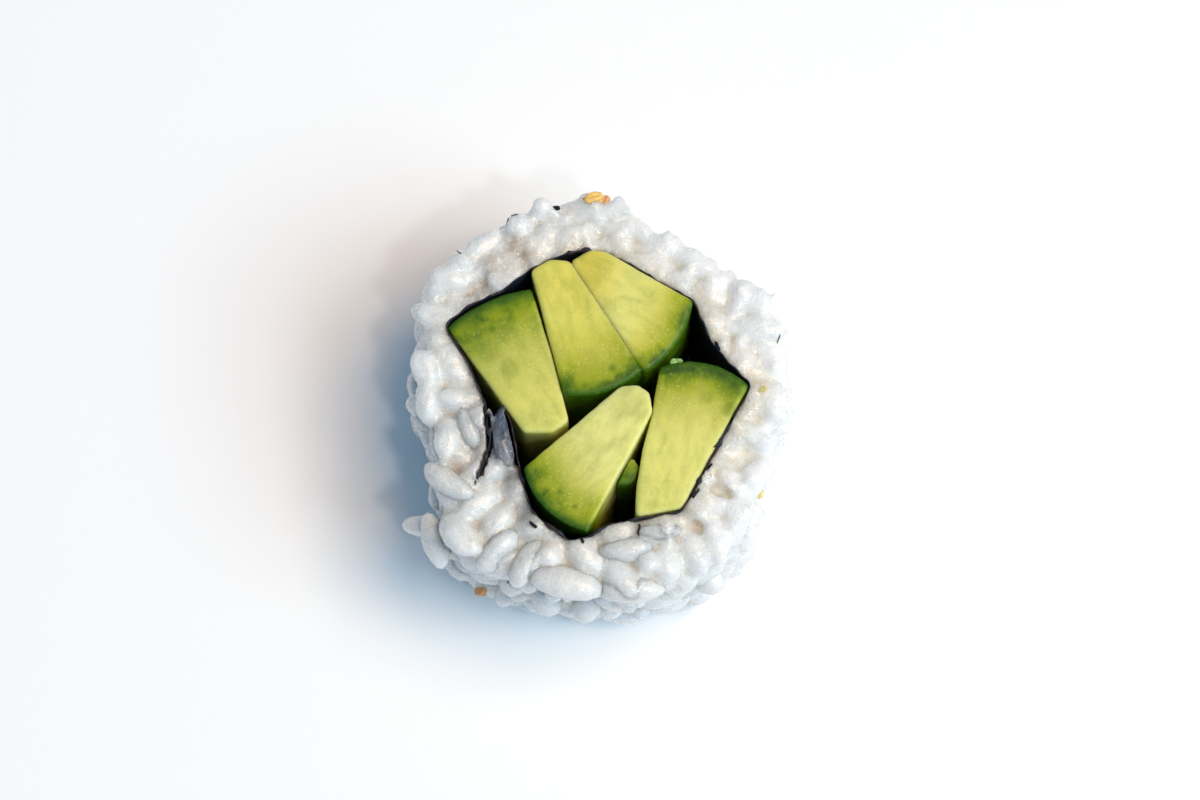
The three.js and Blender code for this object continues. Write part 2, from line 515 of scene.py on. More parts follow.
@dataclass(frozen=True)
class RiceFinish:
    """Cooked rice: white and moist, creamy against the nori and grey where the sheet's colour has run, with
    painted shade on its left side, in creases, in hollows and in the slit, and painted white sparkle.
    """

    name: str = "cooked rice"
    white: Colour = srgb(254, 252, 247)
    cool: Colour = srgb(236, 238, 237)
    # grey of clear grains; on the roll's left side this grey is painted shade
    clear: Colour = srgb(219, 222, 221)
    cream: Colour = srgb(240, 224, 197)
    # painted shade in hollows of the rice
    damp: Colour = srgb(192, 172, 148)
    # painted shade in the creases between grains
    grain_gap_shade: Colour = srgb(228, 220, 204)
    # painted highlight: white sparkle on the wet rice
    fleck: Colour = srgb(255, 254, 251)
    # the nori's grey on the rice, partly painted shade of the fold
    bruise: Colour = srgb(80, 90, 108)
    wetness: Wetness = Wetness(
        roughness=0.2, ior=1.5, coat=0.7, coat_roughness=0.1, bump=1.0, bump_depth=0.24 * MM
    )
    depth: Depth = Depth(weight=1.0, radius=(1.0, 0.93, 0.86), scale=3.8 * MM)
    speck_roughness: float = 0.08

    def material(self) -> bpy.types.Material:
        """The rice's material.

        It reads the attributes grain_tint; the share of clear grey, which also paints shade on the left side;
        painted shade between grains; stain; painted shade in hollows; and the nori's grey, which also paints
        shade at the slit.
        """
        material, build = blank_material(self.name)
        mottled = Mottling.place(build, patch=2.2 * MM, fine=0.36 * MM)
        colour = build.mix(build.attribute("grain_tint"), self.white, self.cool)
        cloudy = build.stretched(mottled["Patches"], 0, 1, (0.35, 1.0))
        # clear grey, which also paints shade on the left side of the roll
        colour = build.mix(build.maths("MULTIPLY", build.attribute("glassy"), cloudy), colour, self.clear)
        # painted shade: creases and the grains' contact with the bed are darkened
        colour = build.mix(build.maths("MULTIPLY", build.attribute("crevice"), 0.6), colour, self.grain_gap_shade)
        patchy = build.stretched(mottled["Patches"], 0, 1, (0.5, 1.0))
        stain = build.maths("MULTIPLY", build.attribute("stain"), patchy)
        colour = build.mix(stain, colour, self.cream)
        # painted shade in hollows of the rice
        colour = build.mix(build.maths("MULTIPLY", build.attribute("damp"), patchy), colour, self.damp)
        # painted highlight: white sparkle on fine specks
        colour = build.mix(build.maths("MULTIPLY", mottled["Specks"], 0.9), colour, self.fleck)
        # the nori's grey over grains by the seam, with painted shade of the fold and slit
        colour = build.mix(build.attribute("bruise"), colour, self.bruise)
        shader = principled(build, self.wetness, self.depth, mottled["Height"])
        build.feed(shader, "Base Color", colour)
        gloss = (self.wetness.roughness, self.speck_roughness)
        build.feed(shader, "Roughness", build.stretched(mottled["Specks"], 0, 1, gloss))
        return material


@dataclass(frozen=True)
class CucumberFinish:
    """Cut cucumber: dark skin, a green band under it and pale mottled flesh, with painted glints on specks of
    the flesh and along its cut top edges.
    """

    name: str = "cut cucumber"
    reach: float = 9 * MM
    stops: tuple[tuple[float, Colour], ...] = (
        (0.0, srgb(46, 84, 6)),
        (0.025, srgb(58, 98, 6)),
        (0.07, srgb(90, 120, 4)),
        (0.15, srgb(126, 146, 8)),
        (0.28, srgb(162, 172, 30)),
        (0.45, srgb(190, 190, 64)),
        (0.7, srgb(214, 208, 92)),
        (1.0, srgb(226, 220, 112)),
    )
    shade: Colour = srgb(128, 144, 34)
    # painted highlight on specks of the flesh and along the cut top edges
    glint: Colour = srgb(240, 236, 160)
    pale: Colour = srgb(234, 234, 162)
    golden: Colour = srgb(234, 208, 72)
    wetness: Wetness = Wetness(roughness=0.4, ior=1.33, bump=0.6, bump_depth=0.05 * MM)
    depth: Depth = Depth(weight=0.8, radius=(1.0, 0.9, 0.2), scale=3.0 * MM)
    speck_roughness: float = 0.16

    def material(self) -> bpy.types.Material:
        """The cucumber's material.

        It reads the attributes rind, the metres from the skin, fibre, the place along the flesh's fibres,
        edge, how near a cut edge is, which paints a highlight along it, pallor and gold, how pale and how
        yellow the flesh is, and spot, where it is dark.
        """
        material, build = blank_material(self.name)
        mottled = Mottling.place(build, patch=4.2 * MM, fine=0.3 * MM)
        rind = build.attribute("rind")
        ragged = build.stretched(mottled["Patches"], 0, 1, (-0.9 * MM, 0.9 * MM))
        depth = build.maths("MULTIPLY_ADD", ragged, build.stretched(rind, 0.0, 1.0 * MM), rind)
        colour = build.ramp(build.maths("DIVIDE", depth, self.reach), self.stops)
        colour = build.mix(build.attribute("pallor"), colour, self.pale)
        colour = build.mix(build.attribute("gold"), colour, self.golden)
        fibres = build.add(
            "ShaderNodeTexNoise",
            Vector=build.add("ShaderNodeAttribute", {"attribute_name": "fibre"}).outputs["Vector"],
            Scale=1 / (1.1 * MM),
            Detail=3.0,
        )
        streaks = build.stretched(fibres.outputs["Fac"], 0.4, 0.7, (0.0, 0.2))
        clouds = build.stretched(mottled["Patches"], 0.3, 1.0, (0.0, 0.22))
        inner = build.stretched(rind, 0.6 * MM, 3 * MM)
        uneven = build.maths("MULTIPLY", build.maths("ADD", streaks, clouds), inner)
        colour = build.mix(uneven, colour, self.shade)
        # painted highlight: sparkle on fine specks of the flesh
        speckled = build.stretched(rind, 0.5 * MM, 3 * MM, (0.1, 0.5))
        colour = build.mix(build.maths("MULTIPLY", mottled["Specks"], speckled), colour, self.glint)
        # painted highlight along the cut top edges
        colour = build.mix(build.maths("MULTIPLY", build.attribute("edge"), 0.22), colour, self.glint)
        colour = build.mix(build.attribute("spot"), colour, self.stops[2][1])
        shader = principled(build, self.wetness, self.depth, mottled["Height"])
        build.feed(shader, "Base Color", colour)
        gloss = (self.wetness.roughness, self.speck_roughness)
        build.feed(shader, "Roughness", build.stretched(mottled["Specks"], 0, 1, gloss))
        return material


@dataclass(frozen=True)
class NoriFinish:
    """Softened nori: near-black with a blue and a brown cast."""

    name: str = "softened nori"
    dark: Colour = srgb(24, 34, 50)
    brown: Colour = srgb(46, 34, 38)
    wetness: Wetness = Wetness(roughness=0.5, coat=0.1, bump=0.6, bump_depth=0.1 * MM)

    def material(self) -> bpy.types.Material:
        """The nori's material."""
        material, build = blank_material(self.name)
        mottled = Mottling.place(build, patch=2.2 * MM, fine=0.5 * MM)
        share = build.maths("MULTIPLY", mottled["Patches"], build.attribute("edge"))
        shader = principled(build, self.wetness, None, mottled["Height"])
        build.feed(shader, "Base Color", build.mix(share, self.dark, self.brown))
        return material


@dataclass(frozen=True)
class CrumbFinish:
    """A small crumb of one colour with soft patches."""

    name: str
    colour: Colour
    shade: Colour
    wetness: Wetness = Wetness(roughness=0.4, bump=0.4)
    depth: Depth | None = Depth(weight=0.3, radius=(1.0, 0.7, 0.3), scale=0.5 * MM)

    def material(self) -> bpy.types.Material:
        """The crumb's material."""
        material, build = blank_material(self.name)
        mottled = Mottling.place(build, patch=0.8 * MM, fine=0.3 * MM)
        shader = principled(build, self.wetness, self.depth, mottled["Height"])
        build.feed(shader, "Base Color", build.mix(mottled["Patches"], self.colour, self.shade))
        return material


# --------------------------------------------------------------------------------------------------
# Laying many small shapes
# --------------------------------------------------------------------------------------------------


@dataclass
class Spots:
    """Where small shapes lie: a middle, a turn and a size for each."""

    middles: np.ndarray
    ways: np.ndarray
    sizes: np.ndarray
    tints: np.ndarray

    def chosen(self, which: np.ndarray) -> Spots:
        """The spots that the mask picks."""
        return Spots(self.middles[which], self.ways[which], self.sizes[which], self.tints[which])

    def turns(self) -> np.ndarray:
        """The Euler angles that turn X to each way, with a roll that differs from shape to shape."""
        golden = math.pi * (3 - math.sqrt(5))
        rolls = [Quaternion((1.0, 0.0, 0.0), i * golden) for i in range(len(self.ways))]
        tracks = [Vector(way).to_track_quat("X", "Z") for way in self.ways]
        return np.array([(track @ roll).to_euler() for track, roll in zip(tracks, rolls)])

    def mesh(self) -> bpy.types.Mesh:
        """A bare vertex for each spot, with the attributes turn, size and grain_tint."""
        mesh = bpy.data.meshes.new("spots")
        mesh.from_pydata([tuple(p) for p in self.middles], [], [])
        paint(mesh, "turn", self.turns())
        paint(mesh, "size", self.sizes)
        paint(mesh, "grain_tint", self.tints)
        return mesh


class Laying:
    """The Geometry Nodes tree that lays one of several shapes on each marked point."""

    NAME = "laid shapes"
    INPUTS = {
        "Geometry": "NodeSocketGeometry",
        "Shapes": "NodeSocketCollection",
        "Swelling": "NodeSocketFloat",
        "Seed": "NodeSocketInt",
        "Finish": "NodeSocketMaterial",
    }

    @classmethod
    def group(cls) -> bpy.types.NodeTree:
        """The tree, built on its first use.

        Returns:
            The tree, with named inputs.
        """
        found = bpy.data.node_groups.get(cls.NAME)
        if found:
            return found
        group = bpy.data.node_groups.new(cls.NAME, "GeometryNodeTree")
        for name, kind in cls.INPUTS.items():
            group.interface.new_socket(name, in_out="INPUT", socket_type=kind)
        group.interface.new_socket("Geometry", in_out="OUTPUT", socket_type="NodeSocketGeometry")
        build = NodeTree(group)
        given = build.add("NodeGroupInput").outputs
        shapes = build.add("GeometryNodeCollectionInfo", Collection=given["Shapes"])
        build.feed(shapes, "Separate Children", True)
        build.feed(shapes, "Reset Children", True)
        pick = build.add("FunctionNodeRandomValue", {"data_type": "INT"}, Min=0, Max=999, Seed=given["Seed"])
        swollen = build.add("ShaderNodeVectorMath", {"operation": "SCALE"}, Scale=given["Swelling"])
        build.feed(swollen, 0, cls._marked(build, "size"))
        turned = build.add("FunctionNodeEulerToRotation", Euler=cls._marked(build, "turn"))
        laid = build.add(
            "GeometryNodeInstanceOnPoints",
            Points=given["Geometry"],
            Instance=shapes.outputs["Instances"],
            Pick_Instance=True,
            Instance_Index=next(s for s in pick.outputs if s.enabled),
            Rotation=turned.outputs["Rotation"],
            Scale=swollen.outputs["Vector"],
        )
        real = build.add("GeometryNodeRealizeInstances", Geometry=laid.outputs["Instances"])
        dressed = build.add(
            "GeometryNodeSetMaterial", Geometry=real.outputs["Geometry"], Material=given["Finish"]
        )
        build.add("NodeGroupOutput", Geometry=dressed.outputs["Geometry"])
        return group

    @staticmethod
    def _marked(build: NodeTree, name: str) -> bpy.types.NodeSocket:
        """A vector that is stored on the points."""
        node = build.add("GeometryNodeInputNamedAttribute", {"data_type": "FLOAT_VECTOR"}, Name=name)
        return next(s for s in node.outputs if s.enabled)

    @classmethod
    def lay(
        cls,
        spots: Spots,
        shapes: bpy.types.Collection,
        finish: bpy.types.Material,
        swelling: float = 1.0,
        seed: int = 5,
    ) -> bpy.types.Mesh:
        """Lays the shapes.

        Args:
            spots: where they lie.
            shapes: the collection of shapes to pick from, each along X.
            finish: their material.
            swelling: how much larger they all are.
            seed: the seed of the picks.

        Returns:
            All the shapes as one plain mesh.
        """
        ground = new_object("ground", spots.mesh())
        modifier = ground.modifiers.new("laid", "NODES")
        modifier.node_group = cls.group()
        values = {"Shapes": shapes, "Swelling": swelling, "Seed": seed, "Finish": finish}
        for item in cls.group().interface.items_tree:
            if item.in_out == "INPUT" and item.name in values:
                modifier[item.identifier] = values[item.name]
        return evaluated_mesh(ground)


# --------------------------------------------------------------------------------------------------
# Rice
# --------------------------------------------------------------------------------------------------


@dataclass(frozen=True)
class GrainShape:
    """One cooked grain, along X: plump, with round ends and the hollow of its lost germ at one of them."""

    length: float
    width: float
    thickness: float
    taper: float
    bend: float
    notch: float
    rings: int = 6
    sides: int = 10

    def mesh(self, name: str) -> bpy.types.Mesh:
        """Builds the grain as a closed mesh.

        Args:
            name: the mesh's name.

        Returns:
            The mesh, centred on the origin.
        """
        shape = bmesh.new()
        rows = [self._ring(shape, -math.cos(math.pi * (i + 1) / (self.rings + 1))) for i in range(self.rings)]
        for lower, upper in zip(rows, rows[1:]):
            for i in range(self.sides):
                j = (i + 1) % self.sides
                shape.faces.new((lower[i], lower[j], upper[j], upper[i]))
        self._cap(shape, rows[0], -1.0)
        self._cap(shape, rows[-1], 1.0)
        bmesh.ops.recalc_face_normals(shape, faces=shape.faces)
        return mesh_of(shape, name)

    def _centre(self, along: float) -> Vector:
        """The grain's middle line at a share from -1 to 1 of its half length."""
        return Vector((along * self.length / 2, self.bend * (along * along - 0.4), 0.0))

    def _ring(self, shape: bmesh.types.BMesh, along: float) -> list[bmesh.types.BMVert]:
        """Adds the ring of vertices at one place along the grain."""
        plump = (1 - abs(along) ** 2.5) ** 0.54 * (1 + self.taper * along)
        ring = []
        for i in range(self.sides):
            turn = 2 * math.pi * i / self.sides
            hollow = self.notch * smoothstep(0.3, 0.9, along) * max(0.0, math.cos(turn - 0.6)) ** 2
            out = plump * (1 - hollow)
            aside = out * self.width / 2 * math.cos(turn)
            above = out * self.thickness / 2 * math.sin(turn)
            ring.append(shape.verts.new(self._centre(along) + Vector((0.0, aside, above))))
        return ring

    def _cap(self, shape: bmesh.types.BMesh, ring: list[bmesh.types.BMVert], end: float) -> None:
        """Closes one end of the grain."""
        tip = shape.verts.new(self._centre(end))
        for i, vertex in enumerate(ring):
            shape.faces.new((tip, vertex, ring[(i + 1) % self.sides]))


@dataclass(frozen=True)
class KnownGrain:
    """A grain with a place of its own, in millimetres."""

    middle: Place
    way: Place
    length: float
    width: float
    tint: float = 0.0


@dataclass
class Packing:
    """Grains as rods with round ends, pushed apart until they lie side by side in a solid."""

    solid: BVHTree
    low: Vector
    high: Vector
    known: Sequence[KnownGrain]
    length: float
    width: float
    count: int = 470
    rounds: int = 60
    drift: float = 0.03 * MM
    unevenness: float = 0.4 * MM
    proud: float = 0.1 * MM
    seed: int = 11

    def depth_of(self, point: np.ndarray) -> tuple[float, np.ndarray]:
        """How deep a point is in the solid, negative outside it, and the way further in."""
        hit, normal, _, reach = self.solid.find_nearest(Vector(point))
        away = (Vector(point) - hit) / max(reach, 1e-9)
        if away.dot(normal) > 0:
            return -reach, -np.array(away)
        return reach, np.array(away)

    def start(self, draw: np.random.Generator) -> tuple[np.ndarray, np.ndarray]:
        """Middles at random in the solid, the known grains first, each with a random way."""
        middles = [np.array(grain.middle) * MM for grain in self.known]
        ways = [np.array(grain.way) for grain in self.known]
        while len(middles) < self.count:
            spot = draw.uniform(self.low, self.high)
            if self.depth_of(spot)[0] > 0.5 * MM:
                middles.append(spot)
                ways.append(draw.normal(size=3) * (1.0, 1.0, 0.6))
        ways = np.array(ways)
        return np.array(middles), ways / np.linalg.norm(ways, axis=1)[:, None]

    def packed(self) -> Spots:
        """Packs the grains.

        Returns:
            Their places, with sizes relative to the mean grain.
        """
        draw = np.random.default_rng(self.seed)
        middles, ways = self.start(draw)
        fixed = np.arange(self.count) < len(self.known)
        radii = np.full(self.count, self.width / 2) * draw.uniform(0.92, 1.06, self.count)
        halves = np.full(self.count, (self.length - self.width) / 2) * draw.uniform(0.75, 1.15, self.count)
        for i, grain in enumerate(self.known):
            radii[i] = grain.width / 2 * MM
            halves[i] = (grain.length - grain.width) / 2 * MM
        uneven = draw.uniform(-self.unevenness, self.unevenness, self.count)
        for _ in range(self.rounds):
            shifts, swings = self._apart(middles, ways, halves, radii)
            outward = middles * (1.0, 1.0, 0.0)
            outward /= np.linalg.norm(outward, axis=1)[:, None] + 1e-9
            shifts += self.drift * (outward + (0.0, 0.0, 0.7))
            shifts[fixed] = 0.0
            swings[fixed] = 0.0
            middles = middles + shifts
            ways = ways * halves[:, None] + swings
            ways /= np.linalg.norm(ways, axis=1)[:, None]
            self._keep_in(middles, ways, halves, radii * 0.92 - self.proud - uneven, fixed)
        across = radii * 2 / self.width
        sizes = np.stack([(halves + radii) * 2 / self.length, across, across], axis=1)
        tints = draw.random(self.count) ** 2
        tints[: len(self.known)] = [grain.tint for grain in self.known]
        return Spots(middles, ways, sizes, tints)

    @staticmethod
    def _apart(
        middles: np.ndarray, ways: np.ndarray, halves: np.ndarray, radii: np.ndarray
    ) -> tuple[np.ndarray, np.ndarray]:
        """The shift of each middle and the swing of each way that take overlaps apart."""
        spans = np.linalg.norm(middles[:, None] - middles[None], axis=2)
        first, second = np.nonzero(np.triu(spans < (halves + radii)[:, None] + (halves + radii)[None], 1))
        gap = middles[first] - middles[second]
        cosine = (ways[first] * ways[second]).sum(1)
        along_first = (ways[first] * gap).sum(1)
        along_second = (ways[second] * gap).sum(1)
        spread = np.maximum(1 - cosine**2, 1e-3)
        at = np.clip((cosine * along_second - along_first) / spread, -halves[first], halves[first])
        on = np.clip(cosine * at + along_second, -halves[second], halves[second])
        at = np.clip(cosine * on - along_first, -halves[first], halves[first])
        between = gap + ways[first] * at[:, None] - ways[second] * on[:, None]
        reach = np.linalg.norm(between, axis=1) + 1e-9
        overlap = np.maximum(radii[first] + radii[second] - reach, 0.0)
        push = between / reach[:, None] * (overlap * 0.35)[:, None]
        shifts, swings = np.zeros_like(middles), np.zeros_like(middles)
        np.add.at(shifts, first, push)
        np.add.at(shifts, second, -push)
        np.add.at(swings, first, push * (at / halves[first])[:, None])
        np.add.at(swings, second, -push * (on / halves[second])[:, None])
        return shifts, swings

    def _keep_in(
        self,
        middles: np.ndarray,
        ways: np.ndarray,
        halves: np.ndarray,
        margins: np.ndarray,
        fixed: np.ndarray,
    ) -> None:
        """Moves grains back into the solid by whichever end is too near its surface."""
        for i in np.nonzero(~fixed)[0]:
            moves = []
            for side in (1, -1):
                end = middles[i] + side * halves[i] * ways[i]
                deep, inward = self.depth_of(end)
                moves.append(inward * max(0.0, margins[i] - deep))
            middles[i] += (moves[0] + moves[1]) / 2
            way = ways[i] * halves[i] + (moves[0] - moves[1]) / 2
            ways[i] = way / np.linalg.norm(way)


@dataclass
class Rice:
    """The rice: a fused bed of packed grains, with single grains that still stand out of it."""

    node: bpy.types.Object
    sheet: BVHTree
    finish: bpy.types.Material
    length: float = 6.0 * MM
    width: float = 3.25 * MM
    variants: int = 12
    seed: int = 11
    inset: float = 1.7 * MM
    wall_reach: float = 1.0 * MM
    core_voxel: float = 0.7 * MM
    bed_voxel: float = 0.385 * MM
    ceiling: float = 23.8 * MM
    known: tuple[KnownGrain, ...] = (
        KnownGrain((-18.0, -10.9, 22.8), (5.3, -3.8, 0.9), 6.8, 2.8, 0.1),
        KnownGrain((-19.7, -17.0, 18.4), (1.5, -5.3, -1.2), 6.4, 2.9, 0.0),
        KnownGrain((-21.3, -14.7, 16.0), (-1.0, 0.1, -0.1), 4.8, 2.7, 0.0),
        KnownGrain((-16.7, -18.0, 9.5), (1.0, -0.6, 0.2), 4.6, 3.5, 0.4),
        KnownGrain((-19.0, -5.8, 21.0), (0.4, -2.7, -0.8), 5.4, 2.6, 0.2),
        KnownGrain((-11.2, -5.4, 23.1), (0.1, -6.4, -0.5), 7.0, 3.1, 1.0),
        KnownGrain((-15.6, -4.4, 22.7), (0.9, -2.4, -0.4), 5.0, 2.6, 0.8),
        KnownGrain((2.9, -19.1, 23.0), (6.2, 0.8, 0.0), 6.1, 2.9, 0.5),
        KnownGrain((6.7, -17.0, 23.2), (4.6, 0.3, 0.0), 5.0, 2.1, 0.7),
        KnownGrain((-4.1, -23.0, 22.6), (7.5, -1.8, 0.0), 8.4, 3.5, 0.2),
        KnownGrain((3.5, -23.6, 21.9), (7.0, 0.2, 0.0), 7.6, 3.3, 0.3),
        KnownGrain((-10.6, -21.1, 15.0), (0.2, -0.2, 1.0), 5.6, 3.4, 0.6),
        KnownGrain((-6.5, -22.8, 12.5), (-0.2, 0.1, 1.0), 5.8, 3.6, 0.8),
        KnownGrain((-1.7, -23.4, 12.0), (0.2, 0.0, 1.0), 5.6, 3.8, 0.5),
    )
    bit_count: int = 180
    swelling: float = 1.07
    loose_share: float = 0.3
    loose_floor: float = 4.0 * MM
    loose_clearance: float = 2.2 * MM
    held: float = 0.94
    foot: float = 0.05 * MM
    seam: tuple[float, float] = (-13.6, -6.2)
    seam_reach: float = 4.4 * MM
    seam_depth: float = 2.5 * MM
    # the nori's grey on rice along the tongue and seam, which also paints the shade of the recessed fold
    tint_and_shade_spots: tuple[Place, ...] = (
        (-12.1, -1.3, 1.0),
        (-11.4, -2.6, 1.0),
        (-11.5, -4.9, 1.0),
        (-11.3, -7.2, 0.9),
        (-10.4, -10.6, 0.5),
        (-8.8, -15.2, 0.45),
        (-14.6, -2.2, 0.28),
        (-14.7, -5.6, 0.3),
    )
    # painted shadow of the slit beside the tongue
    slit_shadow_spots: tuple[Place, ...] = ((-13.0, -2.8, 1.0),)
    # painted shade: beige-brown patches in hollows of the rice, x and y in millimetres, and strength
    shaded_hollows: tuple[Place, ...] = (
        (-17.1, -8.8, 0.6),
        (-14.4, -17.4, 0.45),
        (-10.0, 17.9, 0.75),
        (-12.3, 15.7, 0.8),
        (-14.6, 12.6, 0.45),
        (-8.6, 16.3, 0.5),
        (-3.4, 16.9, 0.4),
        (13.4, 9.6, 0.35),
        (16.0, 1.6, 0.35),
    )
    glassy_patches: tuple[Place, ...] = (
        (10.5, 14.2, 1.0),
        (6.0, 18.6, 0.7),
    )
    walls: BVHTree = field(init=False)
    solid: BVHTree = field(init=False)
    shapes: bpy.types.Collection = field(init=False)

    def __post_init__(self) -> None:
        """Finds the solid and the cut walls that hold the nori, and makes the grains that are laid."""
        mesh = merged_copy(self.node)
        self.solid = surface(mesh)
        self.walls = self._cut_walls(mesh)
        self.shapes = self._variants()

    def _cut_walls(self, mesh: bpy.types.Mesh) -> BVHTree:
        """The upright faces of the rice that hold the nori, without those of its outside."""
        upright = [f for f in mesh.polygons if is_upright(f)]
        faces = [list(f.vertices) for f in upright if self.sheet.find_nearest(f.center, self.wall_reach)[0]]
        return search_tree(mesh, faces)

    def _variants(self) -> bpy.types.Collection:
        """Makes a collection of differing grains."""
        draw = np.random.default_rng(self.seed)
        collection = bpy.data.collections.new("grain shapes")
        for i in range(self.variants):
            shape = GrainShape(
                length=self.length,
                width=self.width * draw.uniform(0.97, 1.08),
                thickness=self.width * draw.uniform(0.84, 0.98),
                taper=draw.uniform(-0.12, 0.1),
                bend=draw.uniform(0.0, 0.35) * MM,
                notch=draw.uniform(0.0, 0.3),
            )
            collection.objects.link(bpy.data.objects.new(f"grain_shape_{i}", shape.mesh(f"grain_shape_{i}")))
        return collection

    @staticmethod
    def looseness(points: np.ndarray) -> np.ndarray:
        """How clearly single grains still show: most at the front and left, least at the right and back."""
        bearing = np.arctan2(points[:, 1], points[:, 0])
        facing = np.cos(bearing - math.radians(215))
        low = 1 - smoothstep(15 * MM, 23 * MM, points[:, 2])
        return np.clip(0.32 + 0.6 * facing + 0.32 * low, 0.12, 1.0)

    @staticmethod
    def shade_between_grains(mesh: bpy.types.Mesh) -> np.ndarray:
        """How deep in a crease each point of the bed lies, from 0 to 1: the share of painted shade that
        darkens it.
        """
        filled = softened(mesh.copy(), np.ones(len(mesh.vertices)), 10)
        rise = ((points_of(filled) - points_of(mesh)) * normals_of(mesh)).sum(axis=1)
        return smoothstep(0.0, 0.14 * MM, rise)

    def core(self) -> bpy.types.Mesh:
        """The rice's solid, drawn in from its outside so that grains fit on it."""
        mesh = voxel_remeshed(merged_copy(self.node), self.core_voxel, 2)
        points, normals = points_of(mesh), normals_of(mesh)
        reach = reach_to(self.walls, points)
        points -= normals * (self.inset * smoothstep(0.3 * MM, 1.6 * MM, reach))[:, None]
        points[:, 2] = np.maximum(points[:, 2], 0.3 * MM)
        move_points(mesh, points)
        return mesh

    def at_seam(self, point: Vector) -> bool:
        """Whether a point is near the open seam, where the nori's outer end comes to the cut face."""
        return (point.xy - Vector(self.seam) * MM).length < self.seam_reach

    def off_the_walls(self, points: np.ndarray, sunk: float = 0.0) -> np.ndarray:
        """The points, with those beyond the cut walls brought back, and sunk where they bridge the seam."""
        moved = points.copy()
        for i, point in enumerate(points):
            spot = Vector(point)
            hit, normal, _, reach = self.walls.find_nearest(spot)
            if reach < 3 * MM and (spot - hit).dot(normal) > 0:
                moved[i] = hit
                if self.at_seam(spot) and spot.z > self.ceiling - sunk:
                    moved[i, 2] -= sunk
        return moved

    def against_the_sheet(self, points: np.ndarray) -> np.ndarray:
        """The points, with those close to the nori, but not at its open seam, pressed sideways against it."""
        gap, near, far = 0.02 * MM, 0.3 * MM, 1.3 * MM
        moved = points.copy()
        for i, point in enumerate(points):
            spot = Vector(point)
            hit, _, _, reach = self.sheet.find_nearest(spot, far)
            if hit and reach > gap and not self.at_seam(spot):
                share = max(gap / reach, float(smoothstep(near, far, reach)))
                moved[i, :2] = hit.xy + (spot - hit).xy * share
        return moved

    def bits(self, ground: BVHTree) -> Spots:
        """Broken bits of grain that stick to the outside and the cut face.

        Args:
            ground: the faces that the bits stick to.

        Returns:
            Where the bits lie.
        """
        draw = np.random.default_rng(self.seed + 2)
        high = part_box(self.node.name)[1]
        beyond = high.x + high.y
        middles = []
        while len(middles) < self.bit_count:
            bearing = draw.uniform(0, 2 * math.pi)
            out = Vector((math.cos(bearing), math.sin(bearing), 0.0))
            if draw.random() < 0.6:
                start = out * math.sqrt(draw.uniform(0.25, 1.0)) * high.y + Vector((0.0, 0.0, beyond))
                hit = ground.ray_cast(start, Vector((0.0, 0.0, -1.0)))[0]
            else:
                hit = ground.ray_cast(out * beyond + Vector((0.0, 0.0, draw.uniform(0.0, high.z))), -out)[0]
            if hit and draw.random() > 1.6 * self.looseness(np.array([hit]))[0]:
                middles.append(hit)
        count = len(middles)
        widths = draw.uniform(0.3, 0.62, count)
        lengths = draw.uniform(0.18, 0.5, count)
        sizes = np.stack([lengths, widths, widths * draw.uniform(0.6, 1.0, count)], axis=1)
        return Spots(np.array(middles), draw.normal(size=(count, 3)), sizes, draw.random(count))

    def trimmed(self, points: np.ndarray, lift: float = 0.0) -> np.ndarray:
        """The points, pressed down to the knife's plane, or a lift above it, and none under the foot."""
        over = points[:, 2] - self.ceiling - lift
        points[:, 2] = np.where(over > 0, self.ceiling + lift + over * 0.35, points[:, 2])
        points[:, 2] = np.maximum(points[:, 2], self.foot)
        return points

    def bed(self, grains: Spots, loose: np.ndarray) -> bpy.types.Mesh:
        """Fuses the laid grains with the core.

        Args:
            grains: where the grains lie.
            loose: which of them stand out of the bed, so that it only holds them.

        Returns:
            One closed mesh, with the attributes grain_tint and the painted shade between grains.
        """
        sizes = grains.sizes * np.where(loose, self.held, 1.0)[:, None]
        fused = Spots(grains.middles, grains.ways, sizes, grains.tints)
        whole = joined([self.core(), Laying.lay(fused, self.shapes, self.finish, self.swelling)])
        bits = Laying.lay(self.bits(surface(whole)), self.shapes, self.finish)
        mesh = voxel_remeshed(joined([whole, bits]), self.bed_voxel, 1)
        fusion = 1 - self.looseness(points_of(mesh))
        mesh = softened(mesh, 0.25 + 0.75 * fusion, 6)
        points, normals = points_of(mesh), normals_of(mesh)
        rough = np.array([ripple(p, 1.7 * MM) + 0.8 * ripple(p, 0.7 * MM, 3.0) for p in points])
        lumps = np.array([granules(p, 1.5 * MM) for p in points])
        relief = rough * (0.06 + 0.1 * fusion) + lumps * (0.12 + 0.16 * fusion)
        move_points(mesh, points + normals * (relief * MM)[:, None])
        mesh = softened(mesh, np.full(len(points), 0.7), 2)
        points = self.against_the_sheet(self.off_the_walls(self.trimmed(points_of(mesh)), self.seam_depth))
        move_points(mesh, points)
        tree = KDTree(len(grains.middles))
        for i, middle in enumerate(grains.middles):
            tree.insert(middle, i)
        tree.balance()
        paint(mesh, "grain_tint", np.array([grains.tints[tree.find(p)[1]] for p in points]))
        paint(mesh, "crevice", self.shade_between_grains(mesh))
        return mesh

    def standing_out(self, grains: Spots) -> np.ndarray:
        """Which grains stand out of the bed: the known ones, and some of those at its loosest parts."""
        draw = np.random.default_rng(self.seed + 1)
        known = np.arange(len(grains.middles)) < len(self.known)
        shallow = reach_to(self.solid, grains.middles) < self.loose_clearance
        shallow &= reach_to(self.sheet, grains.middles) > self.loose_clearance
        shallow &= grains.middles[:, 2] > self.loose_floor
        chance = smoothstep(0.5, 1.0, self.looseness(grains.middles)) * self.loose_share
        return known | (shallow & (draw.random(len(grains.middles)) < chance))

